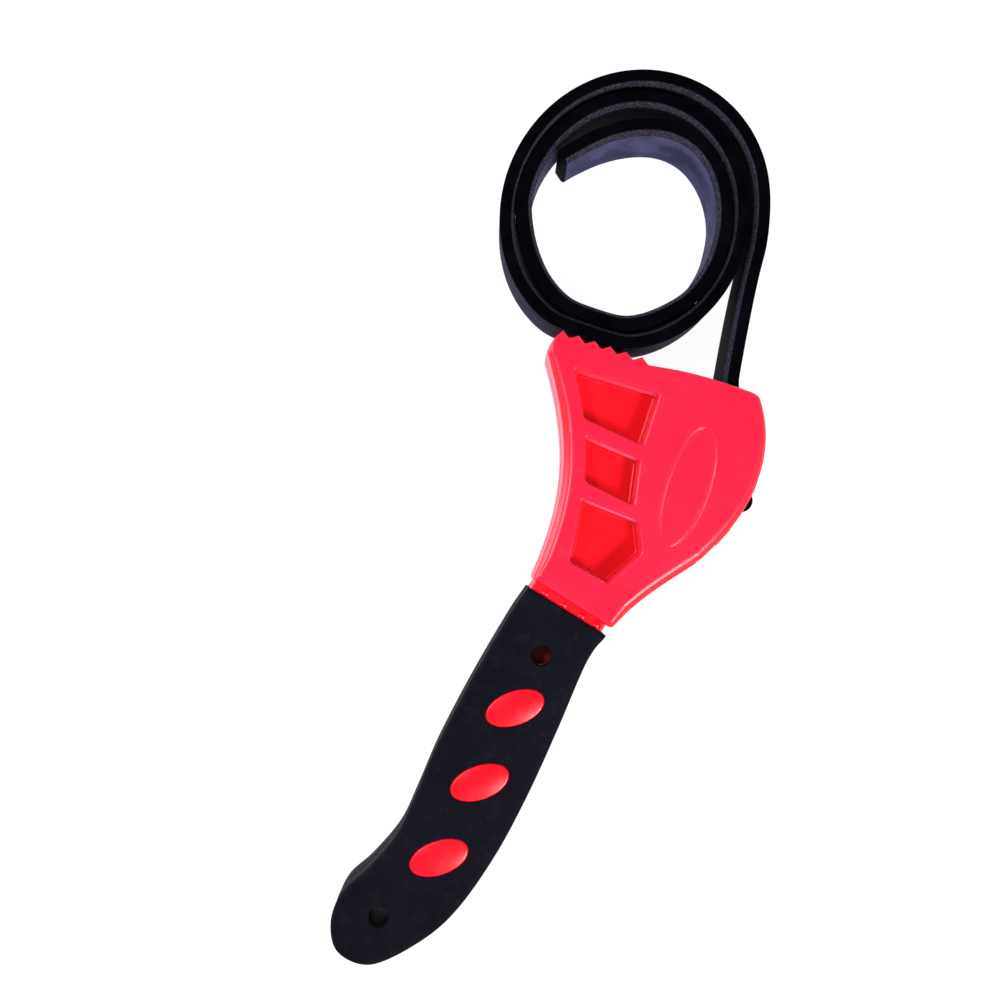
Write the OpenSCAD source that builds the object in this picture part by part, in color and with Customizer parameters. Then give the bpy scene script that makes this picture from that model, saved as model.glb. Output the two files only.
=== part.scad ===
// Rubber strap wrench, lying flat with its strap wound into a coil.
//
// Frame: the origin is the centre of the hang hole, on the mid-plane of the tool. +Z is up
// out of the flat face, +X runs along the toothed jaw towards its outer corner, and +Y is
// square to the jaw, the way the strap leaves it. The handle leans by handle_lean from -Y.
// The moulding is the same on both faces, so the plane z = 0 is a plane of symmetry.

/* [Handle] */
// Distance from the hang hole to the foot of the head, along the handle
handle_length = 119; // [95:1:145]
// Lean of the handle from the normal of the jaw, in degrees
handle_lean = 13.3; // [0:0.1:20]
// Thickness of the rubber-covered grip
grip_thickness = 27; // [22.5:0.5:32]
// Wall of the rubber sleeve, at its edges and over its faces
sleeve_wall = 3; // [2:0.25:4]
// Radius of the hang hole and of the blind hole near the head
hole_radius = 3.3; // [2:0.1:4]
// Distance from the hang hole to the blind hole
blind_hole_place = 101; // [90:1:105]
// Depth of the blind hole, from each face of the grip
blind_hole_depth = 9; // [4:0.5:11]
// Half length of an oval pad that stands up through the sleeve
pad_half_length = 10.2; // [6:0.1:12.5]
// Half width of an oval pad
pad_half_width = 5.75; // [3:0.05:7]
// Height of a pad over the rubber around it
pad_rise = 0.5; // [0:0.1:1]

/* [Head] */
// Thickness of the head
head_thickness = 30; // [29.5:0.5:36]
// Solid wall between the tooth tips and the first pocket
jaw_wall = 11; // [7:0.5:16]
// Solid wall between the last pocket and the foot of the head
foot_wall = 14; // [9:0.5:18]
// Wall left between the pockets and the sides of the head
side_wall = 7.4; // [5:0.1:9]
// Rib between two pockets
rib = 4.5; // [2.5:0.1:7]
// Depth of the pockets, from each face
pocket_depth = 9; // [3:0.5:12]
// Number of teeth on the jaw
tooth_count = 6; // [3:1:6]
// Distance between two tooth tips
tooth_pitch = 5.5; // [3:0.1:6]
// Height of a tooth
tooth_height = 1.9; // [1:0.1:3]

/* [Strap] */
// Width of the strap
strap_width = 25; // [16:0.5:25.5]
// Thickness of the strap
strap_thickness = 5.2; // [3.5:0.1:6.4]
// Clear radius in the middle of the coil, where its turns lie tight
eye_radius = 27.3; // [22:0.1:34]
// Lean of both strap slots from the normal of the jaw, in degrees
slot_lean = 23.5; // [15:0.1:30]
// Distance from the handle's foot to the mouth of the anchor slot, along the jaw
mouth_place = 27.1; // [22:0.1:30]
// Distance between the anchor slot and the feed slot, along the jaw
slot_spacing = 14.2; // [12:0.1:18]
// Play on each side of the strap in the slot that anchors it
anchor_play = 0.2; // [0.1:0.05:0.6]
// Play on each side of the strap in the slot that it is fed back through
feed_play = 0.8; // [0.5:0.05:1.5]
// Radius of the bead moulded across the anchored end
bead_radius = 3.9; // [3.2:0.1:4.6]

/* [Hidden] */

fit_gap = 0.05;          // rubber sleeve on its core
slot_play_z = 0.3;       // play over and under the strap in both slots
through = 1;             // how far a cut runs past a face
curve_steps = 14;        // straight pieces in one curve
pocket_corner = 2.5;
oval_groove = 0.8;       // width and depth of the oval line on the head
oval_groove_depth = 0.5;
oval_half = [7.5, 21];
oval_centre = [23.6, 50];
pad_turn = 51;           // turn of the pads' long axis from the cross direction
pad_places = [[1.8, 81.8], [4.9, 54.9], [6.6, 26.9]];
pocket_heights = [17, 14.5, 21];

core_thickness = grip_thickness - 2 * sleeve_wall;
neck_length = 2.5;       // bare neck between the sleeve and the head
jaw_height = jaw_wall + pocket_heights[0] + pocket_heights[1] + pocket_heights[2]
    + 2 * rib + foot_wall;
foot = handle_length * [sin(handle_lean), cos(handle_lean)];
anchor_slot = strap_thickness + 2 * anchor_play;
feed_slot = strap_thickness + 2 * feed_play;
slot_height = strap_width + 2 * slot_play_z;

// ---- curves ----

function unit(v) = v / norm(v);
function left_of(v) = [-v[1], v[0]];

// A cubic curve from a to d that leaves a towards b and reaches d from c.
function curve(a, b, c, d) = [for (i = [0:curve_steps]) let (t = i / curve_steps, s = 1 - t)
    s * s * s * a + 3 * s * s * t * b + 3 * s * t * t * c + t * t * t * d];

// A smooth line through the points p, in steps pieces between each two.
function knot(p, i) = i < 0 ? 2 * p[0] - p[1]
    : i >= len(p) ? 2 * p[len(p) - 1] - p[len(p) - 2] : p[i];
function through_points(p, steps) = [
    for (i = [0:len(p) - 2], j = [0:(i == len(p) - 2 ? steps : steps - 1)])
        let (t = j / steps, a = knot(p, i - 1), b = p[i], c = p[i + 1], d = knot(p, i + 2))
            b + t / 2 * (c - a) + t * t * (a - 2.5 * b + 2 * c - d / 2)
                + t * t * t * (1.5 * (b - c) + (d - a) / 2)];

function oval(half) = [for (a = [0:7.5:352.5]) [half[0] * cos(a), half[1] * sin(a)]];

// The two sides of a band of the given thickness along the path p, as one closed outline.
function direction(p, i) = unit(p[min(i + 1, len(p) - 1)] - p[max(i - 1, 0)]);
function band(p, thickness) = concat(
    [for (i = [0:len(p) - 1]) p[i] - left_of(direction(p, i)) * thickness / 2],
    [for (i = [len(p) - 1:-1:0]) p[i] + left_of(direction(p, i)) * thickness / 2]);

// The same band with its first end rounded about the path's first point.
function round_band(p, thickness) = concat(band(p, thickness),
    [for (a = [15:15:165]) p[0] + thickness / 2 * (cos(a) * left_of(direction(p, 0))
        - sin(a) * direction(p, 0))]);

module slab(thickness) { translate([0, 0, -thickness / 2]) linear_extrude(thickness) children(); }

// The same cut from both faces of a slab of the given thickness.
module both_faces(thickness, depth) {
    for (side = [0, 1])
        mirror([0, 0, side])
            translate([0, 0, thickness / 2 - depth])
                linear_extrude(depth + through)
                    children();
}

module along_handle() { rotate([0, 0, -handle_lean]) children(); }
module at_head() { translate(foot) children(); }

// ---- outline of the handle: x across it, y along it from the hang hole ----

grip_top = handle_length - 1;
tail = [[20.9, 14.6], [15.8, -1.1], [6.4, -15.2], [-5, -17.5], [-12.3, -10.5], [-14.5, 0],
    [-11.4, 11.4]];
waist = handle_length - 119;
right_side = [[14.8, grip_top], [14.2, 107 + waist], [17.8, 83 + waist / 2], [20.8, 60 + waist / 2],
    [22.3, 37]];
left_side = [[-9.3, 26], [-10.9, 40], [-13.6, 58 + waist / 2], [-15.4, 82 + waist / 2],
    [-16.1, 107 + waist], [-15.6, grip_top]];

module grip_outline(longer = 0) {
    polygon(concat(through_points(concat(right_side, tail, left_side), 6),
        [[-15.6, grip_top + longer], [14.8, grip_top + longer]]));
}

// What the sleeve is moulded over: it runs on through the neck into the head.
module core_outline(gap = 0) {
    offset(delta = -sleeve_wall - gap)
        grip_outline(neck_length + sleeve_wall + 3);
}

module pad_outline(extra) {
    for (place = pad_places)
        translate([place[0], place[1]])
            rotate([0, 0, pad_turn])
                polygon(oval([pad_half_length + extra, pad_half_width + extra]));
}

// ---- outline of the head: x along the jaw and y towards it, from the handle's foot ----

first_tooth = -31.6;
valley = jaw_height - tooth_height;
last_valley = first_tooth + (tooth_count - 0.5) * tooth_pitch;
neck_corner = 1.5;       // the head's foot starts this far past the handle's length

teeth = [for (i = [0:tooth_count - 1]) each [
    [first_tooth + i * tooth_pitch, jaw_height],
    [first_tooth + (i + 0.5) * tooth_pitch, valley]]];
function on_foot(x) = x * [cos(handle_lean), -sin(handle_lean)]
    + neck_corner * [sin(handle_lean), cos(handle_lean)];
foot_left = on_foot(-16);
foot_right = on_foot(15.2);
left_edge = concat(
    curve(foot_left, [-12.2, 36], [-17.6, jaw_height - 34], [-34.2, jaw_height - 9]),
    [[-34.5, jaw_height - 6.5], [-33.8, jaw_height - 3.5]]);
outer_edge = concat(
    curve([last_valley + 6, valley + 1], [15, jaw_height + 0.8], [24, jaw_height + 0.8],
        [33.2, jaw_height + 0.7]),
    curve([33.6, jaw_height + 0.7], [36.3, jaw_height + 0.6], [37.3, jaw_height - 0.2],
        [38.2, jaw_height - 1.8]),
    curve([38.4, jaw_height - 2.1], [44.3, jaw_height - 10.4], [45.8, jaw_height - 19],
        [45.5, jaw_height - 28.5]),
    curve([45.5, jaw_height - 29], [45.3, jaw_height - 37], [42.6, jaw_height - 45.4],
        [36.5, jaw_height - 56.8]),
    curve([36.3, jaw_height - 57.2], [29.2, jaw_height - 66.6], [20.9, 11.6], foot_right));

module head_outline() { polygon(concat(left_edge, teeth, outer_edge)); }

// Right-hand limit of the pockets, which leaves the strap slots their own solid wall.
pocket_right = [[-40, jaw_height], [5.2, jaw_height], [5.4, jaw_height - 30],
    [9, jaw_height - 48], [11.6, 35], [16.4, 25], [9, 12], [-40, 12]];

module pockets_outline() {
    offset(r = pocket_corner)
        offset(delta = -pocket_corner)
            intersection() {
                offset(delta = -side_wall) head_outline();
                polygon(pocket_right);
                union() {
                    pocket_band(jaw_height - jaw_wall, pocket_heights[0]);
                    pocket_band(jaw_height - jaw_wall - pocket_heights[0] - rib, pocket_heights[1]);
                    intersection() {
                        pocket_band(foot_wall + pocket_heights[2], pocket_heights[2] + 4);
                        translate(on_foot(0))
                            rotate([0, 0, -handle_lean])
                                translate([-50, foot_wall - neck_corner])
                                    square([100, 100]);
                    }
                }
            }
}

module pocket_band(top, height) { translate([-50, top - height]) square([100, height]); }

// ---- route of the strap ----

slot_way = [sin(slot_lean), -cos(slot_lean)];   // from the jaw down into the head
mouth = foot + [mouth_place, jaw_height];
bend_standoff = 2.2;                            // the strap starts to bend just off the jaw
bend_pivot = mouth - slot_way * bend_standoff;
pivot_clear = 0.1;

outer_turn = eye_radius + 2.5 * strap_thickness + 2.7;
coil_centre = mouth + [-6.2 - outer_turn, outer_turn + strap_thickness / 2 + 0.9];

// Turn angle, straps inside it, slack added to the radius. The turns lie loose: they close up
// at the side of the run, and the last one stands off the top of the coil.
turns = [[-5, 2, 4.8], [15, 2, 2.8], [40, 2, 2.3], [90, 2, 1.9], [150, 2, 2.4], [210, 2, 2.7],
    [235, 2, 3.3], [260, 2, 3.5], [288, 2, 3.4], [312, 2, 1.9], [345, 1, 4.1], [375, 1, 1.2],
    [405, 1, -0.3], [435, 1, -0.4], [480, 1, 0.7], [525, 1, 2.2], [555, 1, 2.3],
    [585, 1, 2.5], [605, 1, 2.7], [625, 1, 2.6], [650, 1, 3.1], [670, 0.5, 4.5],
    [690, 0, 5.3], [705, 0, 3.9], [720, 0, 2.2], [750, 0, -0.2], [780, 0, -1.6],
    [820, 0, -3.8], [845, 0, -3.4], [868, 0, -1.5], [884, 0, 1.2]];
oval_amount = 1.8;       // the coil is a little longer than wide
oval_way = 75;           // its long axis, in turn angle
coil_gap = 0.3;          // between the coil and the tooth tips it lies against
turn_rings = through_points(turns, 6);
function free_radius(ring) = eye_radius + (ring[1] + 0.5) * strap_thickness + ring[2]
    + oval_amount * cos(2 * (ring[0] - oval_way));

// The coil is flattened where it lies against the teeth: the first turn on them, the second
// on the first.
function above_teeth(ring) = coil_centre[1] - mouth[1] - coil_gap
    - (ring[0] < 450 ? 0.5 : 1.52) * strap_thickness;
function smooth_min(a, b) = -0.5 * ln(exp(-2 * a) + exp(-2 * b));
function turn_radius(ring) = sin(ring[0]) > -0.6 ? free_radius(ring)
    : smooth_min(free_radius(ring), above_teeth(ring) / -sin(ring[0]));
coil_path = [for (ring = turn_rings)
    coil_centre + turn_radius(ring) * [cos(ring[0]), sin(ring[0])]];
coil_pivot = coil_path[0];

run_path = curve(bend_pivot, bend_pivot + [-1.5, 10.5],
    coil_pivot + [0.8, -12.5], coil_pivot);
end_clear = strap_thickness / 2 + pivot_clear;

// The path without its last stretch of the given length.
function cut_short(p, length) = [for (q = p) if (norm(q - p[len(p) - 1]) > length) q,
    p[len(p) - 1] - length * direction(p, len(p) - 1)];

bead_centre = mouth + slot_way * 37.5;          // the bead stands a little out of the side
feed_mouth = mouth - [slot_spacing, 0];

// A straight slot with its middle plane through from and to.
module slot_cut(from, to, gap, height) {
    slab(height)
        polygon(band([from, to], gap));
}

// ---- the pieces ----

// Red moulding: toothed head, neck and handle core in one.
module body() {
    color("crimson")
        difference() {
            union() {
                at_head()
                    slab(head_thickness)
                        head_outline();
                along_handle()
                    slab(core_thickness)
                        core_outline(fit_gap);
                along_handle()
                    slab(grip_thickness - 4)
                        translate([-14.9, grip_top + 0.15])
                            square([28, neck_length + 2]);
                along_handle()
                    slab(grip_thickness + 2 * pad_rise)
                        pad_outline(-0.3);
            }
            at_head()
                both_faces(head_thickness, pocket_depth)
                    pockets_outline();
            at_head()
                both_faces(head_thickness, oval_groove_depth)
                    translate(oval_centre)
                        difference() {
                            polygon(oval(oval_half));
                            polygon(oval([oval_half[0] - oval_groove, oval_half[1] - oval_groove]));
                        }
            slot_cut(mouth - 4 * slot_way, bead_centre, anchor_slot, slot_height);
            slot_cut(bead_centre, bead_centre + 16 * slot_way, 2 * (bead_radius + anchor_play), slot_height);
            translate([bead_centre[0], bead_centre[1], -slot_height / 2])
                cylinder(h = slot_height, r = bead_radius + anchor_play, $fn = 64);
            slot_cut(feed_mouth - 4 * slot_way, feed_mouth + 75 * slot_way, feed_slot, slot_height);
            translate([0, 0, -grip_thickness])
                cylinder(h = 2 * grip_thickness, r = hole_radius, $fn = 64);
            along_handle()
                both_faces(grip_thickness, blind_hole_depth)
                    translate([0, blind_hole_place])
                        circle(r = hole_radius, $fn = 64);
        }
}

// Black rubber sleeve moulded over the core, open at the neck, with windows for the pads.
module grip_sleeve() {
    color([0.08, 0.08, 0.1])
        along_handle()
            difference() {
                slab(grip_thickness)
                    grip_outline();
                slab(core_thickness + 2 * fit_gap)
                    core_outline();
                slab(2 * grip_thickness)
                    pad_outline(0);
                translate([0, 0, -grip_thickness])
                    cylinder(h = 2 * grip_thickness, r = hole_radius, $fn = 64);
                translate([0, blind_hole_place, -grip_thickness])
                    cylinder(h = 2 * grip_thickness, r = hole_radius, $fn = 64);
            }
}

// Strap, first stretch: held in its slot by the bead that its end is moulded into.
module strap_anchor() {
    color([0.12, 0.12, 0.15])
        union() {
            slab(strap_width)
                polygon(band([bend_pivot + end_clear * slot_way, bead_centre], strap_thickness));
            translate([bead_centre[0], bead_centre[1], -strap_width / 2])
                cylinder(h = strap_width, r = bead_radius, $fn = 64);
        }
}

// Strap, second stretch: free run from the jaw to the coil.
module strap_run() {
    color([0.12, 0.12, 0.15])
        slab(strap_width)
            polygon(round_band(cut_short(run_path, end_clear), strap_thickness));
}

// Strap, third stretch: wound up to its free end.
module strap_coil() {
    color([0.12, 0.12, 0.15])
        slab(strap_width)
            polygon(round_band(coil_path, strap_thickness));
}

body();
grip_sleeve();
strap_anchor();
strap_run();
strap_coil();
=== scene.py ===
import math

import bpy
import numpy as np
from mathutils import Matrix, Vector, geometry


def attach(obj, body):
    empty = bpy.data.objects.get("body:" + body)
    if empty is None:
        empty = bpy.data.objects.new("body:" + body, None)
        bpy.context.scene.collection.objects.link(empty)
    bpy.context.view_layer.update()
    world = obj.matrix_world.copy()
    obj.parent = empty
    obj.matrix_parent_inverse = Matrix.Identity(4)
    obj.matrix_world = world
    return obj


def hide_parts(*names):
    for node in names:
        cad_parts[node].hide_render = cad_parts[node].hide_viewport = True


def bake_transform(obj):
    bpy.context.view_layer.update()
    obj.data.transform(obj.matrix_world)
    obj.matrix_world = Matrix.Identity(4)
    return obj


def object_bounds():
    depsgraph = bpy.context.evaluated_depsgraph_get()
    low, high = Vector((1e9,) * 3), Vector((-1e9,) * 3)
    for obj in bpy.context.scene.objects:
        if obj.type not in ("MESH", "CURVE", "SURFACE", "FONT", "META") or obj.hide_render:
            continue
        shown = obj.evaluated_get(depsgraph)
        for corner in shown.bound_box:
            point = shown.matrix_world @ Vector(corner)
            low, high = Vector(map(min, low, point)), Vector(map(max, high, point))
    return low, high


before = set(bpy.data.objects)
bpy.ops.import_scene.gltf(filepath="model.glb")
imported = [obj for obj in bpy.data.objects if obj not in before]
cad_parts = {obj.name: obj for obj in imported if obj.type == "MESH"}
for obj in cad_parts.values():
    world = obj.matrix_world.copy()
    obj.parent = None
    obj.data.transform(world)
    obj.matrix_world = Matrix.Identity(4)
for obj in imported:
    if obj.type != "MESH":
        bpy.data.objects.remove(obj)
cad_box = [list(corner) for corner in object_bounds()]

# ---- The bench the tool lies on, the light round it and the camera over it ----
# A plain white bench under the flat underside of the head, lit a little from within like a
# light table, with soft boxes round it. The sky is darkest straight up, so that flat faces
# keep their own colour and only rounded edges pick up the boxes.

low, high = (Vector(corner) for corner in cad_box)
middle = (low + high) / 2


def lamp(name, place, aim, size, power, colour=(1, 1, 1)):
    """A square soft box of the given side at place, turned to face aim. Lengths in metres."""
    light = bpy.data.lights.new(name, "AREA")
    light.shape, light.size, light.energy, light.color = "SQUARE", size, power, colour
    thing = bpy.data.objects.new(name, light)
    thing.location = place
    thing.rotation_euler = (Vector(aim) - Vector(place)).to_track_quat("-Z", "Y").to_euler()
    bpy.context.scene.collection.objects.link(thing)
    return thing


bench_half = 4.0
bench_corners = [(-1, -1), (1, -1), (1, 1), (-1, 1)]
bench_mesh = bpy.data.meshes.new("bench")
bench_mesh.from_pydata(
    [(x * bench_half, y * bench_half, low.z) for x, y in bench_corners], [], [(0, 1, 2, 3)])
bench = bpy.data.objects.new("bench", bench_mesh)
bpy.context.scene.collection.objects.link(bench)
bench_white = bpy.data.materials.new("bench_white")
bench_white.use_nodes = True
bench_shader = bench_white.node_tree.nodes["Principled BSDF"].inputs
for socket, value in (
    ("Base Color", (0.12, 0.12, 0.12, 1)), ("Roughness", 0.9),
    ("Emission Color", (1, 1, 1, 1)), ("Emission Strength", 0.96),
):
    bench_shader[socket].default_value = value
bench_mesh.materials.append(bench_white)

lamp("foot_box", middle + Vector((0.56, -0.36, 0.74)), middle, 0.30, 8.6)
lamp("streak_box", middle + Vector((-0.52, 0.02, 0.84)), middle, 0.13, 2.4)
lamp("left_box", middle + Vector((-0.95, 0.10, 0.22)), middle, 0.50, 7, (0.84, 0.76, 1.0))

world = bpy.data.worlds.new("studio")
world.use_nodes = True
sky = world.node_tree.nodes
sky_links = world.node_tree.links
way_up, height_of, fade = (
    sky.new("ShaderNode" + kind) for kind in ("TexCoord", "SeparateXYZ", "MapRange"))
fade.interpolation_type = "SMOOTHSTEP"
for socket, value in (("From Min", 0.55), ("From Max", 0.95), ("To Min", 0.55), ("To Max", 0.13)):
    fade.inputs[socket].default_value = value
sky_links.new(way_up.outputs["Generated"], height_of.inputs["Vector"])
sky_links.new(height_of.outputs["Z"], fade.inputs["Value"])
sky_links.new(fade.outputs["Result"], sky["Background"].inputs["Strength"])
sky["Background"].inputs["Color"].default_value = (1, 1, 1, 1)
bpy.context.scene.world = world
bpy.context.scene.view_settings.view_transform = "Standard"
bpy.context.scene.view_settings.look = "None"

# The camera hangs 44 cm over the tool and looks all but straight down. Lens in millimetres.
camera_data = bpy.data.cameras.new("camera")
camera_data.lens, camera_data.sensor_width, camera_data.shift_y = 47.155, 36, 0.03
camera_degrees = (0.483, -0.321, 18.693)
camera = bpy.data.objects.new("camera", camera_data)
camera.location = (-0.00608, 0.13009, 0.44008)
camera.rotation_euler = [math.radians(angle) for angle in camera_degrees]
bpy.context.scene.collection.objects.link(camera)
bpy.context.scene.camera = camera

# ---- Moulding: toothed head, neck and handle core, in one shot of red plastic ----
# A hard glossy plastic moulding, the same on both faces. Its rims are rounded, its walls
# have a little draft and a parting line runs round them half way up.

# Shapes are drawn in millimetres: the head from the end of the handle, with y square to its jaw,
# and the handle from the hang hole, with y along it.
lean = math.radians(13.3)
handle_length = 119
along_handle = np.array([math.sin(lean), math.cos(lean)])
across_handle = np.array([math.cos(lean), -math.sin(lean)])
foot = handle_length * along_handle
foot_lift = 1.5
jaw, jaw_left, tooth_count = 86.5, -31.6, 6
tooth_pitch, tooth_height = 5.5, 1.9
half_head, half_grip = 15.0, 13.5


def curve(a, b, c, d, count=40):
    """A cubic line from a to d that leaves a towards b and reaches d from c."""
    t = np.linspace(0, 1, count)[:, None]
    s = 1 - t
    weights = s**3, 3 * s * s * t, 3 * s * t * t, t**3
    return sum(weight * np.array(point) for weight, point in zip(weights, (a, b, c, d)))


def through_points(points, steps):
    """A smooth line through the points: between two of them, the cubic that their neighbours
    steer."""
    p = np.asarray(points, float)
    p = np.vstack([2 * p[0] - p[1], p, 2 * p[-1] - p[-2]])
    a, b, c, d = (p[i : len(p) - 3 + i, None] for i in range(4))
    t = np.linspace(0, 1, steps, endpoint=False)[None, :, None]
    square, cube = a - 2.5 * b + 2 * c - d / 2, 1.5 * (b - c) + (d - a) / 2
    line = b + t / 2 * (c - a) + t**2 * square + t**3 * cube
    return np.vstack([line.reshape(-1, p.shape[1]), p[-2:-1]])


def even_loop(points, spacing, soft=0.0):
    """The closed line, anticlockwise and in even steps. Its corners are softened by a moving
    average whose weight falls off as a bell curve of width soft."""
    p = np.asarray(points, float)
    x, y = p.T
    if np.sum(x * np.roll(y, -1) - y * np.roll(x, -1)) < 0:
        p = p[::-1]
    p = np.vstack([p, p[:1]])
    s = np.r_[0, np.cumsum(np.linalg.norm(np.diff(p, axis=0), axis=1))]
    count = int(round(s[-1] / spacing))
    at = np.linspace(0, s[-1], count, endpoint=False)
    z = np.interp(at, s, p[:, 0]) + 1j * np.interp(at, s, p[:, 1])
    waves = np.fft.fftfreq(count, s[-1] / count)
    z = np.fft.ifft(np.fft.fft(z) * np.exp(-2 * (math.pi * waves * soft) ** 2))
    return np.stack([z.real, z.imag], 1)


def reach_along(line):
    """How far along a line each of its points lies."""
    return np.r_[0, np.cumsum(np.hypot(*np.diff(line, axis=0).T))]


def points_at(where, reach, line):
    """The points at distances where along a line whose own points lie at distances reach."""
    return np.stack([np.interp(where, reach, line[:, i]) for i in (0, 1)], -1)


def ellipse(half_x, half_y, count):
    """An even turn round an ellipse about the origin, anticlockwise from +X."""
    turn = np.linspace(0, 2 * math.pi, count, endpoint=False)
    return np.stack([half_x * np.cos(turn), half_y * np.sin(turn)], 1)


def inward(loop):
    """Unit normals of an anticlockwise closed line, pointing into it."""
    t = np.roll(loop, -1, 0) - np.roll(loop, 1, 0)
    return np.stack([-t[:, 1], t[:, 0]], 1) / np.linalg.norm(t, axis=1)[:, None]


def step(x, start, end):
    """0 up to start, 1 from end, and a smooth S between them."""
    t = np.clip((x - start) / (end - start), 0, 1)
    return t * t * (3 - 2 * t)


def grid(points, closed=False, keep=None):
    """A sheet of four-sided faces over a table of points, rows by columns. closed joins the last
    column to the first, and keep says which faces stay."""
    rows, columns = points.shape[:2]
    index = np.arange(rows * columns).reshape(rows, columns)
    if closed:
        index = np.hstack([index, index[:, :1]])
    faces = np.stack([index[:-1, :-1], index[:-1, 1:], index[1:, 1:], index[1:, :-1]], -1)
    faces = faces.reshape(-1, 4) if keep is None else faces[keep]
    return points.reshape(-1, 3), faces


def raised(flat, height):
    """A table of flat points, rows by columns, with one height for each row."""
    return np.dstack([flat, np.broadcast_to(height[:, None], flat.shape[:2])])


def rim(loop, profile):
    """A profile of (distance into the loop, height) pairs carried round a closed line."""
    offset, height = np.array(profile, float).T
    flat = loop[None] + inward(loop)[None] * offset[:, None, None]
    return grid(raised(flat, height), closed=True)


def face(loops, height, gap=2.5):
    """A flat face at one height inside the first loop and outside the others, in triangles. An
    even lattice of inner points keeps the triangles well shaped; the rule for what stays is that
    a line from the triangle's middle crosses the loops an odd number of times."""
    corners = np.vstack(loops)
    lows, highs = corners.min(0), corners.max(0)
    row_gap = gap * 0.87  # the height of a triangle with even sides
    xs, ys = np.meshgrid(
        np.arange(lows[0], highs[0], gap), np.arange(lows[1], highs[1], row_gap))
    xs = xs + gap / 2 * (np.arange(len(xs)) % 2)[:, None]
    lattice = np.stack([xs.ravel(), ys.ravel()], 1)
    start, stop = corners, np.vstack([np.roll(loop, -1, 0) for loop in loops])
    over, rise = (stop - start).T

    def crossings(p):
        """How many edges of the loops a line to the right of each point crosses."""
        spans = (start[None, :, 1] > p[:, None, 1]) != (stop[None, :, 1] > p[:, None, 1])
        slope = over / np.where(rise == 0, 1e-9, rise)
        right = p[:, None, 0] < start[None, :, 0] + (p[:, None, 1] - start[None, :, 1]) * slope
        return np.sum(spans & right, 1)

    apart = np.hypot(*np.moveaxis(lattice[:, None] - corners[None], 2, 0))
    near = apart.min(1) < gap * 0.45
    lattice = lattice[(crossings(lattice) % 2 == 1) & ~near]
    points = np.vstack([corners, lattice])
    ends, edges = np.cumsum([0] + [len(loop) for loop in loops]), []
    for first, last in zip(ends[:-1], ends[1:]):
        ring = np.arange(first, last)
        edges += np.stack([ring, np.roll(ring, -1)], 1).tolist()
    out = geometry.delaunay_2d_cdt([Vector(p) for p in points], edges, [], 0, 1e-7)
    flat, triangles = np.array([tuple(v) for v in out[0]]), np.array(out[2])
    triangles = triangles[crossings(flat[triangles].mean(1)) % 2 == 1]
    a, b, c = (flat[triangles[:, i]] for i in range(3))
    turned = (b - a)[:, 0] * (c - a)[:, 1] - (b - a)[:, 1] * (c - a)[:, 0] < 0
    triangles[turned] = triangles[turned][:, ::-1]
    return np.column_stack([flat, np.full(len(flat), height)]), triangles


def below(parts):
    """The same sheets mirrored to the under side, with their faces turned to look outwards."""
    return [(points * [1, 1, -1], faces[:, ::-1]) for points, faces in parts]


def placed(parts, turn=0.0, shift=(0, 0)):
    """The sheets turned clockwise by turn and then moved by shift, seen from above."""
    c, s = math.cos(turn), math.sin(turn)
    spin = np.array([[c, -s, 0], [s, c, 0], [0, 0, 1]])
    return [(points @ spin + [*shift, 0], faces) for points, faces in parts]


def piece(name, parts, finish, uv=None):
    """One mesh object of all the sheets, in metres. uv holds a pair of numbers for each point."""
    firsts = np.cumsum([0] + [len(points) for points, _ in parts])
    mesh = bpy.data.meshes.new(name)
    faces = [face for first, (_, part) in zip(firsts, parts) for face in (part + first).tolist()]
    mesh.from_pydata((np.vstack([points for points, _ in parts]) / 1000).tolist(), [], faces)
    mesh.polygons.foreach_set("use_smooth", [True] * len(mesh.polygons))
    if uv is not None:
        corner = np.zeros(len(mesh.loops), np.int32)
        mesh.loops.foreach_get("vertex_index", corner)
        along = mesh.uv_layers.new(name="along")
        along.data.foreach_set("uv", uv[corner].astype(np.float32).ravel())
    mesh.materials.append(finish)
    thing = bpy.data.objects.new(name, mesh)
    bpy.context.scene.collection.objects.link(thing)
    return thing


class Wire:
    """One output in a node tree. Sums with wires and numbers add Math nodes."""

    def __init__(self, finish, socket):
        self.finish, self.socket = finish, socket

    def math(self, operation, *terms):
        return self.finish.node("Math", {"operation": operation}, dict(enumerate(terms)))

    def __add__(self, other):
        return self.math("ADD", self, other)

    def __sub__(self, other):
        return self.math("SUBTRACT", self, other)

    def __rsub__(self, other):
        return self.math("SUBTRACT", other, self)

    def __mul__(self, other):
        return self.math("MULTIPLY", self, other)

    def __abs__(self):
        return self.math("ABSOLUTE", self)

    def band(self, start, end, low=0.0, high=1.0):
        """low up to start, high from end, and a smooth S between them."""
        return self.finish.node(
            "MapRange",
            {"interpolation_type": "SMOOTHSTEP"},
            {"Value": self, "From Min": start, "From Max": end, "To Min": low, "To Max": high},
        )

    __radd__, __rmul__ = __add__, __mul__


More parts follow.
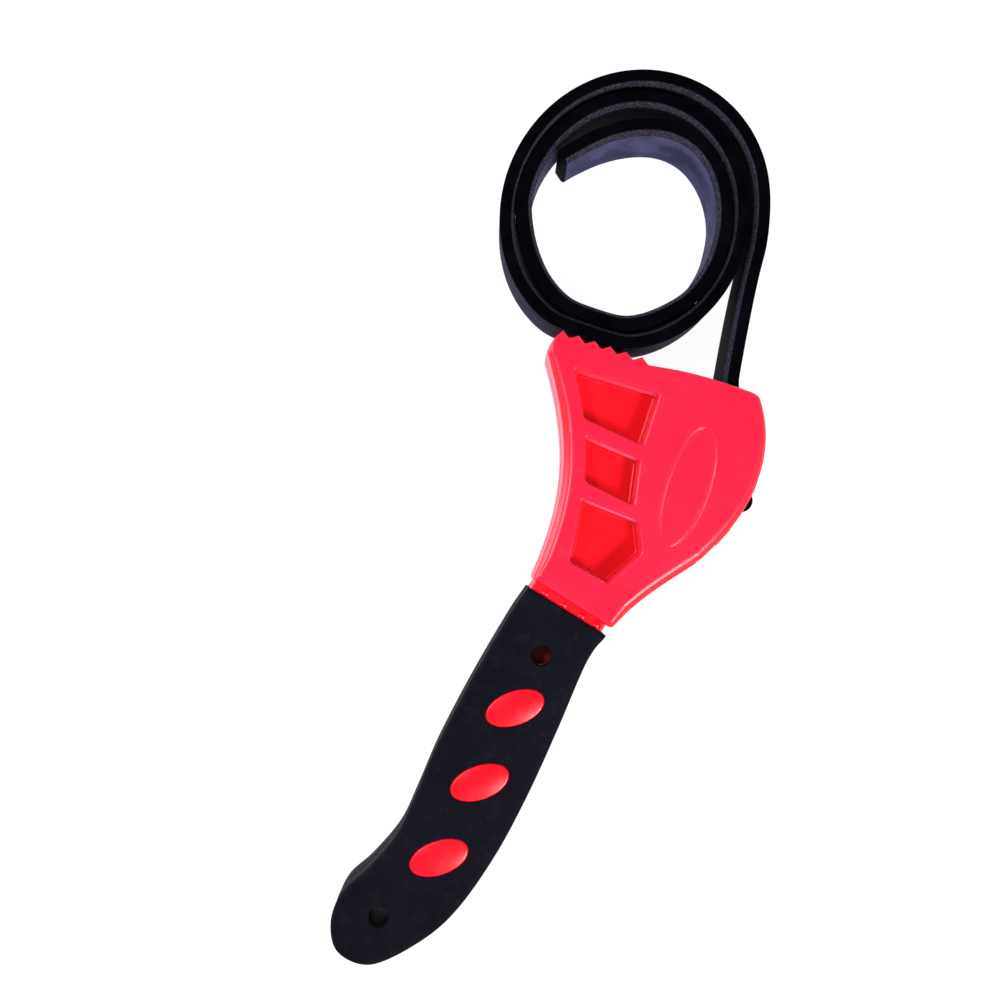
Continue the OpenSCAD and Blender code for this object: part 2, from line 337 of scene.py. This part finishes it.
class Finish:
    """A material and its node tree."""

    def __init__(self, name):
        self.material = bpy.data.materials.new(name)
        self.material.use_nodes = True
        self.tree = self.material.node_tree
        self.tree.nodes.clear()

    def node(self, kind, settings=None, inputs=None, out=0):
        """Adds a node: its settings first, then the values or wires of its sockets."""
        made = self.tree.nodes.new("ShaderNode" + kind)
        for key, value in (settings or {}).items():
            setattr(made, key, value)
        for key, value in (inputs or {}).items():
            if isinstance(value, Wire):
                self.tree.links.new(value.socket, made.inputs[key])
            else:
                made.inputs[key].default_value = value
        return made if out is None else Wire(self, made.outputs[out])

    def colour(self, amount, first, second):
        """first where amount is 0 and second where it is 1. Colours are linear."""
        first, second = (c if isinstance(c, Wire) else (*c, 1) for c in (first, second))
        return self.node("Mix", {"data_type": "RGBA"}, {0: amount, 6: first, 7: second}, 2)

    def noise(self, scale, detail, rough):
        """Cloudy values about 0.5, scale of them to the metre."""
        inputs = {"Scale": scale, "Detail": detail, "Roughness": rough}
        inputs["Vector"] = self.node("TexCoord", out="Object")
        return self.node("TexNoise", None, inputs)

    def bump(self, height, depth):
        """A normal for a surface raised by height times depth, in metres."""
        return self.node("Bump", None, {"Height": height, "Strength": 1.0, "Distance": depth})

    def done(self, **sockets):
        """Joins the shader to the output. Names of sockets have _ for a space."""
        inputs = {key.replace("_", " "): value for key, value in sockets.items()}
        shader = self.node("BsdfPrincipled", None, inputs)
        self.node("OutputMaterial", None, {"Surface": shader}, None)
        return self.material


def on_foot(x):
    """A point of the head's foot, x across the handle and foot_lift above its end."""
    return x * across_handle + foot_lift * along_handle


foot_left, foot_right = on_foot(-16), on_foot(15.2)
last_valley = jaw_left + (tooth_count - 0.5) * tooth_pitch
tips = jaw_left + tooth_pitch * np.arange(tooth_count)
tooth_heights = np.repeat([jaw, jaw - tooth_height], tooth_count)
teeth = np.stack([np.r_[tips, tips + tooth_pitch / 2], tooth_heights], 1)
left_edge = curve(foot_left, (-12.2, 36), (-17.6, jaw - 34), (-34.2, jaw - 9), 160)
right_edge = curve((38.4, jaw - 2.1), (44.3, jaw - 10.4), (45.8, jaw - 19), (45.5, jaw - 28.5), 80)
lower_edge = curve((45.5, jaw - 29), (45.3, jaw - 37), (42.6, jaw - 45.4), (36.5, jaw - 56.8), 80)
head_line = np.vstack([
    left_edge, [(-34.5, jaw - 6.5), (-33.8, jaw - 3.5)], teeth[np.argsort(teeth[:, 0])],
    curve((last_valley + 6, jaw - 0.9), (15, jaw + 0.8), (24, jaw + 0.8), (33.2, jaw + 0.7)),
    curve((33.6, jaw + 0.7), (36.3, jaw + 0.6), (37.3, jaw - 0.2), (38.2, jaw - 1.8)), right_edge,
    lower_edge, curve((36.3, jaw - 57.2), (29.2, jaw - 66.6), (20.9, 11.6), foot_right, 120)])

# The crisp line of the teeth, and a softer one for the corners at the foot.
fine_step, tooth_round, foot_round = 0.05, 0.22, 1.1
crisp, soft = (even_loop(head_line, fine_step, width) for width in (tooth_round, foot_round))
start_at = int(np.argmin(np.hypot(*(crisp - on_foot(0)).T)))
crisp, soft = np.roll(crisp, -start_at, 0), np.roll(soft, -start_at, 0)
from_foot = np.minimum(np.hypot(*(crisp - foot_left).T), np.hypot(*(crisp - foot_right).T))
dense = crisp + (soft - crisp) * step(from_foot, 9, 4)[:, None]
length = reach_along(dense)


def at(point):
    """How far along the head's outline, from the middle of its foot, it comes nearest to point."""
    return length[np.argmin(np.hypot(*(dense - point).T))]


# Both strap slots: their mouths in the jaw and their way out through the side of the head.
slot_lean = math.radians(23.5)
slot_way = np.array([math.sin(slot_lean), -math.cos(slot_lean)])
slot_side = np.array([-slot_way[1], slot_way[0]])
anchor_mouth, feed_mouth = np.array([27.1, jaw]), np.array([12.9, jaw])
anchor_half, feed_half = 2.8, 3.4
slot_half_height, mouth_round = 12.8, 0.4
slot_middle = 20.0

# The round room for the strap's bead: how far in it is, its radius, and how far from its own
# middle it meets the walls of the slot.
bead_in, bead_room, bead_meets = 37.5, 4.1, 2.995

# Each opening: its slot's mouth, half its width, and 1 at the jaw or -1 at the side.
openings = [
    (anchor_mouth, anchor_half, 1), (feed_mouth, feed_half, 1),
    (anchor_mouth, bead_room, -1), (feed_mouth, feed_half, -1)]
gates = []
for centre, half, end in openings:
    across, along = (dense - centre) @ slot_side, (dense - centre) @ slot_way
    own_end = end * along < end * slot_middle
    near = np.flatnonzero((abs(across) < half + mouth_round) & own_end)
    gates.append((length[near[0]], length[near[-1]]))

wall_step = 0.3
count = int(length[-1] / wall_step)
along_head = np.linspace(0, length[-1], count, endpoint=False)
for gate in np.ravel(gates):
    along_head[np.argmin(abs(along_head - gate))] = gate
outline = points_at(along_head, length, dense)

# How far the rim is rounded, round the outline: least on the teeth, most along both sides.
most_round = 3.6
marks = [
    (foot_right, 2.0), (foot_right + [2, 9], 3.4), (lower_edge[-1], most_round),
    ((43.9, jaw - 13), 3.0), ((38.6, jaw - 2.4), 1.8), ((31, jaw + 0.7), 1.1),
    ((6, jaw - 0.6), 0.9), ((last_valley, jaw - tooth_height), 0.4), ((jaw_left, jaw), 0.4),
    ((-34, jaw - 4), 0.8), ((-32.6, jaw - 11), 2.6), ((-24, jaw - 24), most_round),
    (foot_left + [0.5, 9], 3.4), (foot_left, 2.0)]
rim_round = np.interp(
    along_head, [at(point) for point, _ in marks], [r for _, r in marks], period=length[-1])

# Heights of the rows of the wall: close at the parting line and round the rim.
arc = np.radians([0, 10, 20, 30, 40, 50, 58, 66, 73, 79, 84, 88, 90])
rim_rows = half_head - most_round + most_round * np.sin(arc)
slot_top = slot_half_height + mouth_round
heights = np.unique(np.r_[0, 0.13, 0.26, 0.6, 2.5, 5, 7.5, 9.5, slot_top, rim_rows])
open_row = int(np.argmin(abs(heights - slot_top)))
parting_ridge, draft = 0.12, 0.01


def set_in(height, radius):
    """How far the wall stands inside the outline at a height: past the parting ridge at the
    middle, the draft times the height, and a quarter circle of the radius up to the face."""
    ridge = parting_ridge * step(height, 0.1, 0.26)
    up = np.clip(height - (half_head - radius), 0, radius)
    return ridge + draft * height + radius - np.sqrt(np.maximum(radius**2 - up**2, 0))


normals = inward(outline)
depth = set_in(heights[:, None], rim_round[None, :])
wall = raised(outline[None] + normals[None] * depth[:, :, None], heights)
keep = np.ones((len(heights) - 1, count), bool)
tunnels = []
for (centre, half, end), gate in zip(openings, gates):
    first, last = (int(np.argmin(abs(along_head - g))) for g in gate)
    keep[:open_row, first:last] = False
    edge = np.vstack([
        wall[: open_row + 1, first], wall[open_row, first + 1 : last], wall[open_row::-1, last]])
    across, along = (edge[:, :2] - centre) @ slot_side, (edge[:, :2] - centre) @ slot_way
    rings = []
    for a in np.radians([0, 22, 45, 68, 90]):
        spread = mouth_round * (1 - math.sin(a))
        squeeze = (half + spread) / (half + mouth_round)
        lower = (slot_half_height + spread) / slot_top
        further = along + end * mouth_round * (1 - math.cos(a))
        rings.append((across * squeeze, further, edge[:, 2] * lower))
    holds_bead = half == bead_room
    stops = [slot_middle]
    if holds_bead:
        bead_turns = np.sin(np.radians([15, 30, 40, 46.9]))
        stops = [bead_in, *(bead_in - bead_room * bead_turns), slot_middle]
    for stop in stops:
        width = half
        if holds_bead:
            width = math.sqrt(bead_room**2 - min(bead_in - stop, bead_meets) ** 2)
        rings.append((rings[4][0] * width / half, np.full(len(edge), stop), rings[4][2]))
    tube = np.array([
        np.column_stack([centre + x[:, None] * slot_side + y[:, None] * slot_way, z])
        for x, y, z in rings])
    tunnels.append(grid(tube[::-1]))
shell = grid(wall, closed=True, keep=keep)

# Three pockets on each face, with walls between them, and the engraved oval beside them.
pocket_depth = 9.0
left_wall, thicker_at_foot = 7.4, 1.7
left_slope = np.gradient(left_edge, axis=0)
left_normal = np.stack([left_slope[:, 1], -left_slope[:, 0]], 1)
left_thick = left_wall + thicker_at_foot * step(left_edge[:, 1], 34, 15)
left_limit = left_edge + left_thick[:, None] * left_normal / np.hypot(*left_slope.T)[:, None]
right_limit = np.array([
    (9, 12), (16.4, 25), (11.6, 35), (9, jaw - 48), (5.4, jaw - 30), (5.2, jaw)])


def pocket(bottom, top):
    """Outline of a pocket: the left side keeps an even wall, the right one is a broken line that
    clears the slots. bottom and top are the heights of its corners, left then right."""
    t = np.linspace(0, 1, 60)
    left_y, right_y = bottom[0] + (top[0] - bottom[0]) * t, bottom[1] + (top[1] - bottom[1]) * t
    left_x = np.interp(left_y, left_limit[:, 1], left_limit[:, 0])
    right_x = np.interp(right_y, right_limit[:, 1], right_limit[:, 0])
    sides = np.vstack([np.stack([left_x, left_y], 1)[::-1], np.stack([right_x, right_y], 1)])
    return even_loop(sides, wall_step, 0.95)


pockets = [
    pocket((jaw - 25.7, jaw - 28), (jaw - 10.9, jaw - 10)),
    pocket((jaw - 45.3, jaw - 47.7), (jaw - 30.9, jaw - 32.5)),
    pocket((14.6, 11.6), (35.7, 34.7)),
]
oval = np.array([23.6, 50]) + ellipse(7.1, 20.6, 180)


def quarter(centre_in, centre_up, radius, start, end, count=6):
    """Points of an arc in a profile, its angle measured from straight in."""
    a = np.radians(np.linspace(start, end, count))
    return np.stack([centre_in + radius * np.cos(a), centre_up + radius * np.sin(a)], 1)


pocket_floor = half_head - pocket_depth
lip_round, floor_round, wall_foot = 0.7, 0.9, 0.3
pocket_profile = np.vstack([
    quarter(-lip_round, half_head - lip_round, lip_round, 90, 4), [(0.1, 12.5), (wall_foot, 9.5)],
    quarter(wall_foot + floor_round, pocket_floor + floor_round, floor_round, 180, 270)])
groove_profile = np.array([
    (-0.5, half_head), (-0.36, 14.97), (-0.2, 14.86), (0.0, 14.66), (0.2, 14.6), (0.4, 14.66),
    (0.62, 14.84), (0.8, 14.93), (0.95, 14.95)])
top_holes = [loop + inward(loop) * pocket_profile[0, 0] for loop in pockets]
top_holes.append(oval + inward(oval) * groove_profile[0, 0])
head = [shell, *tunnels, face([wall[-1, :, :2], *top_holes], half_head)]
for loop, profile in [*((loop, pocket_profile) for loop in pockets), (oval, groove_profile)]:
    floor_in, floor_height = profile[-1]
    head += [rim(loop, profile), face([loop + inward(loop) * floor_in], floor_height)]
red_parts = placed(head, 0, foot)

# The bare neck, with the small tabs left on it by the mould, and the pads of the handle core,
# which stand up through the rubber. The blind hole ends in the core.
neck_left, neck_right, neck_half = -14.8, 13, 11.4
section = even_loop([
    (neck_left, -neck_half), (neck_right, -neck_half), (neck_right, neck_half),
    (neck_left, neck_half)], wall_step, 0.5)
tab_rise, tab_half, tab_places = 0.35, 0.6, (-9.5, -2.4, 4.6, 10.2)
tab_shape = sum(np.exp(-(((section[:, 0] - place) / tab_half) ** 4)) for place in tab_places)

# Rows up the neck: the height, and whether the tabs stand there.
neck_rows = [
    (117.6, False), (118.35, False), (118.5, True), (119.4, True), (119.6, False), (121.2, False)]
neck = []
for up_neck, has_tabs in neck_rows:
    thick = abs(section[:, 1]) - tab_rise + tab_rise * has_tabs * tab_shape
    level = np.full(len(section), up_neck)
    neck.append(np.column_stack([section[:, 0], level, np.sign(section[:, 1]) * thick]))
pad_half, pad_sides = (10.15, 5.7), 96
pad_places, pad_turn = [(1.8, 81.8), (4.9, 54.9), (6.6, 26.9)], math.radians(51)
pad_share = np.r_[np.linspace(0, 0.9, 12), 0.93, 0.96, 0.98, 0.993, 1.0, 1.0]
pad_top, pad_crown, pad_foot = 14.0, 0.75, 12.5
pad_up = pad_top - pad_crown * pad_share**2 - 0.3 * step(pad_share, 0.93, 1.0) ** 1.5
pad_up[-1] = pad_foot
neck_part = placed([grid(np.array(neck)[::-1], closed=True)], lean)
dome = pad_share[::-1, None, None] * ellipse(*pad_half, pad_sides)[None]
dome = grid(raised(dome, pad_up[::-1]), closed=True)
handle_red = [part for place in pad_places for part in placed([dome], -pad_turn, place)]
hole_radius, floor_radius = 3.3, 2.7
blind_place, blind_floor = np.array([0, 101]), 4.5
hole = ellipse(hole_radius, hole_radius, 64)
blind_profile = [
    (0, 10.6), (0.05, 5.2), (0.2, 4.7), (hole_radius - floor_radius, blind_floor)]
blind_bottom = face([hole * (floor_radius / hole_radius)], blind_floor, 1.2)
handle_red += placed([rim(hole, blind_profile), blind_bottom], 0, blind_place)
red_parts += placed(handle_red, lean)

# A paler red on the faces, and a deeper one in the pockets, round the sides and on the pads,
# which is painted shade where less reflection reaches. The blind hole is painted dark red as
# shade. Faint mottling darkens it, and scuffs make it rougher.
red = Finish("red_plastic")
cloud, fine = red.noise(45, 3, 0.6), red.noise(900, 2, 0.5)
mottle = red.noise(260, 4, 0.65)
where = red.node("TexCoord", out="Object")
height = abs(red.node("SeparateXYZ", None, {"Vector": where}, 2))
on_plan = red.node("VectorMath", {"operation": "MULTIPLY"}, {0: where, 1: (1, 1, 0)})
hole_centre = blind_place[1] / 1000 * along_handle
from_hole = red.node("VectorMath", {"operation": "DISTANCE"}, {0: on_plan, 1: (*hole_centre, 0)}, 1)
upper_face = red.colour(cloud.band(0.3, 0.7), (0.92, 0.011, 0.044), (0.97, 0.014, 0.054))
painted_shade_red = red.colour(cloud.band(0.3, 0.7), (0.93, 0.002, 0.013), (0.97, 0.003, 0.018))
# Painted shade: everything below the flat faces takes the deeper red.
red_base = red.colour(height.band(0.0141, 0.01488), painted_shade_red, upper_face)
red_base = red.colour(mottle.band(0.45, 0.75, 0, 0.22), red_base, (0.78, 0.003, 0.014))
# Painted shade: inside the blind hole the red is painted dark.
red_base = red.colour(from_hole.band(0.0033, 0.0036, 1, 0), red_base, (0.22, 0.0006, 0.0008))
scuffs = red.noise(130, 5, 0.7).band(0.52, 0.72)
red.done(
    Base_Color=red_base, Roughness=0.25 + cloud * 0.08 + scuffs * 0.12, Specular_IOR_Level=0.42,
    Sheen_Weight=0.8, Sheen_Roughness=0.22, Sheen_Tint=(0.60, 0.56, 1.0, 1),
    Normal=red.bump(fine + mottle, 0.000006))
moulding = piece("red_moulding", red_parts + below(red_parts) + neck_part, red.material)
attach(moulding, "handle")
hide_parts("body")

# ---- Sleeve: black rubber moulded over the handle core ----
# A matt rubber skin with well rounded long edges, open round the three pads. It lines the
# hang hole at the tail, and the blind hole near the neck shows the red core at its bottom.

sleeve_end = 118.0
right_side = [(14.9, sleeve_end), (14.2, 107), (17.8, 83), (20.8, 60), (22.3, 37)]
tail = [
    (20.9, 14.6), (15.8, -1.1), (6.4, -15.2), (-5, -17.5), (-12.3, -10.5), (-14.5, 0),
    (-11.4, 11.4)]
left_side = [(-9.3, 26), (-10.9, 40), (-13.6, 58), (-15.4, 82), (-16.1, 107), (-15.6, sleeve_end)]
grip = even_loop(through_points(right_side + tail + left_side, 24), 0.4, 0.3)
from_neck = sleeve_end - grip[:, 1]

# The long edges are rounded by grip_round, and less at the neck. A parting ridge runs round the
# sleeve half way up.
grip_round, neck_round, grip_ridge = 2.4, 0.9, 0.1
edge_round = neck_round + (grip_round - neck_round) * step(from_neck, 0.4, 5)
grip_arc = np.radians([0, 9, 18, 27, 36, 45, 54, 62, 69, 75, 80, 84, 87, 90])
grip_rows = half_grip - grip_round + grip_round * np.sin(grip_arc)
grip_heights = np.unique(np.r_[0, 0.12, 0.24, 2, 4, 6.5, 9, grip_rows])
up = np.clip(grip_heights[:, None] - (half_grip - edge_round)[None], 0, edge_round[None])
ridge = grip_ridge * step(grip_heights[:, None], 0.08, 0.24)
grip_depth = ridge + edge_round[None] - np.sqrt(np.maximum(edge_round[None] ** 2 - up**2, 0))
grip_wall = raised(grip[None] + inward(grip)[None] * grip_depth[:, :, None], grip_heights)

window = np.column_stack([ellipse(10.2, 5.75, pad_sides), np.zeros(pad_sides)])
windows = [placed([(window, None)], -pad_turn, place)[0][0][:, :2] for place in pad_places]
blind = hole + blind_place
window_lip = [(-0.3, half_grip), (-0.12, 13.46), (-0.02, 13.34), (0, 13.15), (0, 12.4)]
hole_lip = [(-0.7, half_grip), (-0.45, 13.46), (-0.2, 13.33), (-0.05, 13.1), (0, 12.8)]
grip_holes = [loop + inward(loop) * window_lip[0][0] for loop in windows]
grip_holes += [loop + inward(loop) * hole_lip[0][0] for loop in (hole, blind)]
rubber_parts = [grid(grip_wall, closed=True), face([grip_wall[-1, :, :2], *grip_holes], half_grip)]
rubber_parts += [rim(loop, window_lip) for loop in windows]
rubber_parts += [rim(hole, hole_lip + [(0, 6), (0, 0)]), rim(blind, hole_lip + [(0, 10.45)])]
rubber_parts = placed(rubber_parts, lean)

sleeve_rubber = Finish("sleeve_rubber")
haze = sleeve_rubber.noise(38, 4, 0.65)
worn = sleeve_rubber.noise(170, 5, 0.7)
grain = sleeve_rubber.noise(1600, 2, 0.6)
skin = sleeve_rubber.colour(
    haze.band(0.35, 0.7), (0.0034, 0.0034, 0.0066), (0.0060, 0.0060, 0.0108))
skin = sleeve_rubber.colour(worn.band(0.5, 0.78, 0, 0.6), skin, (0.013, 0.013, 0.021))
sleeve_rubber.done(
    Base_Color=skin, Roughness=0.56 + haze * 0.14 - worn.band(0.55, 0.8) * 0.12,
    Specular_IOR_Level=0.035, Normal=sleeve_rubber.bump(grain + worn * 1.5, 0.00003))
sleeve = piece("rubber_sleeve", rubber_parts + below(rubber_parts), sleeve_rubber.material)
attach(sleeve, "handle")
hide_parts("grip_sleeve")

# ---- Strap: one length of black rubber, from its bead in the head to its free end ----
# Extruded 25 by 5.2 mm, chamfered along both edges of the side that grips. It stands out of
# its slot, runs up beside the coil and is wound inwards. It is cut into three lengths in the
# places where it bends; they meet edge to edge.

thickness, half_width, bead_radius = 5.2, 12.5, 3.9
strap_half = thickness / 2

# The radius of the coil's eye and of the whole coil, how far the coil lies beside the strap's
# slot and above the jaw, and how far out of the slot the strap bends.
eye_radius, coil_radius = 27.3, 43.0
beside_slot, above_jaw, bend_out = 6.2, 3.5, 2.2
mouth = foot + anchor_mouth
bend = mouth - bend_out * slot_way
bead_end = mouth + (bead_in + bead_radius) * slot_way
coil_middle = mouth + np.array([-beside_slot - coil_radius, coil_radius + above_jaw])

# How the strap is wound: the angle, how many turns lie inside it there, and how far it
# stands off a tight winding. Above the teeth it is pressed up by the head, so that it clears the
# jaw by jaw_gap: the outer turn lies half a thickness over it, the inner one a thickness higher.
jaw_gap, outer_turn_ends = 0.3, 450
turns = np.array([
    (-5, 2, 4.8), (15, 2, 2.8), (40, 2, 2.3), (90, 2, 1.9), (150, 2, 2.35), (190, 2, 2.5),
    (210, 2, 2.7), (235, 2, 3.3), (260, 2, 3.5), (288, 2, 3.4), (312, 2, 1.9), (345, 1, 4.1),
    (375, 1, 1.2), (405, 1, -0.3), (435, 1, -0.4), (480, 1, 0.7), (525, 1, 2.1), (553, 1, 2.56),
    (562, 1, 2.1), (572, 1, 1.6), (584, 1, 1.5), (596, 1, 1.85), (610, 1, 2.3), (625, 1, 2.9),
    (640, 1, 2.6), (650, 1, 2.3), (660, 0.75, 2.95), (670, 0.5, 3.8), (680, 0.25, 4.9),
    (690, 0, 5.25), (705, 0, 3.9), (720, 0, 2.2), (750, 0, -0.2), (780, 0, -1.6), (820, 0, -3.8),
    (845, 0, -3.4), (868, 0, -1.5), (884, 0, 1.2)])
rings = through_points(turns, 16)
turn = np.radians(rings[:, 0])
squash = 1.8 * np.cos(2 * (turn - math.radians(75)))
free = eye_radius + (rings[:, 1] + 0.5) * thickness + rings[:, 2] + squash
under = np.where(rings[:, 0] < outer_turn_ends, 0.5, 1.52) * thickness
clear = (coil_middle[1] - mouth[1] - jaw_gap - under) / np.maximum(-np.sin(turn), 0.1)

# The smaller of the two, rounded off where they cross.
pressed = -0.5 * np.log(np.exp(-2 * free) + np.exp(-2 * clear))
radius = np.where(np.sin(turn) > -0.6, free, pressed)
wound = coil_middle + radius[:, None] * np.stack([np.cos(turn), np.sin(turn)], 1)
coil_start = wound[0]
run = curve(bend, bend + [-1.5, 10.5], coil_start + [0.8, -12.5], coil_start, 60)
strap_line = np.vstack([np.linspace(bead_end, bend, 60)[:-1], run[:-1], wound])
reach = reach_along(strap_line)

# The whole line in even steps, smoothed by a bell-shaped moving average.
line_step, bell_width, bell_side = 0.4, 1.8, 15
even = np.linspace(0, reach[-1], int(reach[-1] / line_step))
strap_line = points_at(even, reach, strap_line)
bell = np.exp(-0.5 * (np.arange(-bell_side, bell_side + 1) * line_step / bell_width) ** 2)
before_line = 2 * strap_line[0] - strap_line[bell_side:0:-1]
after_line = 2 * strap_line[-1] - strap_line[-2 : -bell_side - 2 : -1]
padded = np.vstack([before_line, strap_line, after_line])
strap_line = np.stack([np.convolve(column, bell / bell.sum(), "valid") for column in padded.T], 1)
reach = reach_along(strap_line)


def reach_of(point):
    """How far along the strap it comes nearest to point."""
    return reach[np.argmin(np.hypot(*(strap_line - point).T))]


# The upper half of the section, across and up: the gripping side is at +, and its chamfer takes
# about 1.3 off the thickness and 2.4 off the width.
upper = np.array([
    (strap_half, 5.0), (strap_half, 9.6), (2.58, 9.9), (2.5, 10.2), (1.44, 12.16), (1.3, 12.38),
    (1.1, 12.49), (0.8, half_width), (-1.0, half_width), (-2.1, half_width), (-2.35, 12.46),
    (-2.53, 12.35), (-strap_half, 12.12), (-strap_half, 6.0)])
round_strap = np.vstack([[(strap_half, 0)], upper, [(-strap_half, 0)], upper[::-1] * [1, -1]])
girth = reach_along(round_strap[: len(upper) + 2])
girth = np.r_[girth, girth[-2:0:-1]]

# The gap between rows, how far either way the line's direction is read, and the most that the
# lower edge leans in.
row_step, look, most_lean = 0.8, 0.6, 1.6


def strap(name, start, end, capped=False):
    """The section carried along the strap's line from start to end, turned square to it. The
    strap begins with the bead, a full circle. Near its free end it leans, its lower edge further
    in by lean_in. A capped end is cut square, with its edge a little rounded."""
    at_s = np.linspace(start, end, int(round((end - start) / row_step)) + 1)
    if start < bead_radius:
        round_bead = bead_radius - bead_radius * np.cos(np.linspace(0, math.pi, 33))
        at_s = np.r_[round_bead, at_s[at_s > 2 * bead_radius + 0.1]]
    centre = points_at(at_s, reach, strap_line)
    ahead, behind = (points_at(at_s + way, reach, strap_line) for way in (look, -look))
    ahead = ahead - behind
    ahead /= np.linalg.norm(ahead, axis=1)[:, None]
    side = np.stack([-ahead[:, 1], ahead[:, 0]], 1)
    bead = np.sqrt(np.maximum(bead_radius**2 - (at_s - bead_radius) ** 2, 0))
    thick = np.maximum(strap_half * (at_s > bead_radius), bead) / strap_half
    across = round_strap[None, :, 0] * thick[:, None]
    tall = np.broadcast_to(round_strap[None, :, 1], across.shape)
    from_end = reach[-1] - at_s
    lean_in = most_lean * step(from_end, 80, 50) * (1 - 0.6 * step(from_end, 25, 0))
    across = across + lean_in[:, None] * (half_width - round_strap[None, :, 1]) / (2 * half_width)
    row = centre[:, None] + across[:, :, None] * side[:, None]
    table = np.dstack([row, tall])
    length_of = np.broadcast_to(at_s[:, None], across.shape)
    if capped:
        end_middle = centre[-1] + 0.2 * ahead[-1] + across[-1].mean() * side[-1]
        inner = 0.93 * (across[-1] - across[-1].mean())
        lipped = np.column_stack([end_middle + inner[:, None] * side[-1], tall[-1] * 0.985])
        shut = np.column_stack([np.tile(end_middle, (len(inner), 1)), tall[-1] * 0.97])
        table = np.vstack([table, lipped[None], shut[None]])
        length_of = np.vstack([length_of, np.full((2, len(girth)), at_s[-1])])
    uv = np.dstack([length_of, np.broadcast_to(girth, length_of.shape)]).reshape(-1, 2) / 1000
    return piece(name, [grid(table, closed=True)], strap_rubber.material, uv)


# Colours follow the place round the section, in metres from the middle of the gripping face
# over its chamfer and the edge to the back, and the place along the strap from its bead. The
# rubber is black; the inner turn's gripping face and the outer turn's back, where the light
# falls, carry a painted blue grey sheen, a painted reflection of the pale bench. The chamfers
# carry a painted grey highlight over a real grain.
strap_rubber = Finish("strap_rubber")
uv_place = strap_rubber.node("TexCoord", out="UV")
run_along, round_section = (
    strap_rubber.node("SeparateXYZ", None, {"Vector": uv_place}, axis) for axis in (0, 1))
grains = strap_rubber.noise(2200, 3, 0.7)
smears, sheen_patches = strap_rubber.noise(90, 4, 0.6), strap_rubber.noise(38, 3, 0.6)
full = reach[-1] / 1000
lit_inner_turn = run_along.band(full - 0.235, full - 0.175)
first_turn = run_along.band(full - 0.345, full - 0.300, 1, 0)
tip = run_along.band(full - 0.0004, full - 0.0001)
gripping, back = round_section.band(0.0098, 0.0102, 1, 0), round_section.band(0.0168, 0.0172)
# Painted sheen: strong on the inner turn's gripping face and weaker on the outer turn's back.
painted_sheen_share = (gripping * (lit_inner_turn * 0.94 + 0.06) + back * first_turn * 0.30) * (1 - tip)
chamfer = round_section.band(0.0098, 0.0104) * round_section.band(0.0123, 0.0130, 1, 0)
chamfer = chamfer * (1 - tip)
edge_black = strap_rubber.colour(
    smears.band(0.4, 0.7), (0.0008, 0.0007, 0.0016), (0.0020, 0.0018, 0.0040))
# Painted sheen: a blue grey reflection of the pale bench, in patches.
painted_sheen = strap_rubber.colour(
    smears.band(0.35, 0.68), (0.030, 0.034, 0.080), (0.075, 0.078, 0.160))
painted_sheen = strap_rubber.colour(sheen_patches.band(0.48, 0.66, 0, 0.7), painted_sheen, (0.095, 0.078, 0.185))
# Painted highlight: the chamfers are painted grey, over a real grain.
painted_chamfer_light = strap_rubber.colour(
    grains.band(0.42, 0.62), (0.012, 0.011, 0.018), (0.070, 0.065, 0.090))
black_with_painted_light = strap_rubber.colour(chamfer, strap_rubber.colour(painted_sheen_share, edge_black, painted_sheen), painted_chamfer_light)
strap_rubber.done(
    Base_Color=black_with_painted_light, Roughness=0.60 - painted_sheen_share * 0.12 + smears * 0.1, Specular_IOR_Level=0.012,
    Normal=strap_rubber.bump(grains * (chamfer * 3 + 1) + smears * 0.5, 0.00004))

# The strap is cut half way up its free run, and in the coil just past where the bending ends.
bend_at, coil_at = reach_of(bend), reach_of(coil_start)
first_cut, second_cut = (bend_at + coil_at) / 2, coil_at + 14
lead = strap("strap_lead", 0.0, first_cut)
bridge = strap("strap_bridge", first_cut, second_cut)
coil = strap("strap_wound", second_cut, reach[-1], True)


def flexed(thing):
    """Moves the length of strap's placing into its points."""
    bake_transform(thing)


flexed(lead)
flexed(bridge)
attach(coil, "coil")
for thing, node in ((lead, "strap_anchor"), (bridge, "strap_run"), (coil, "strap_coil")):
    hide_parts(node)
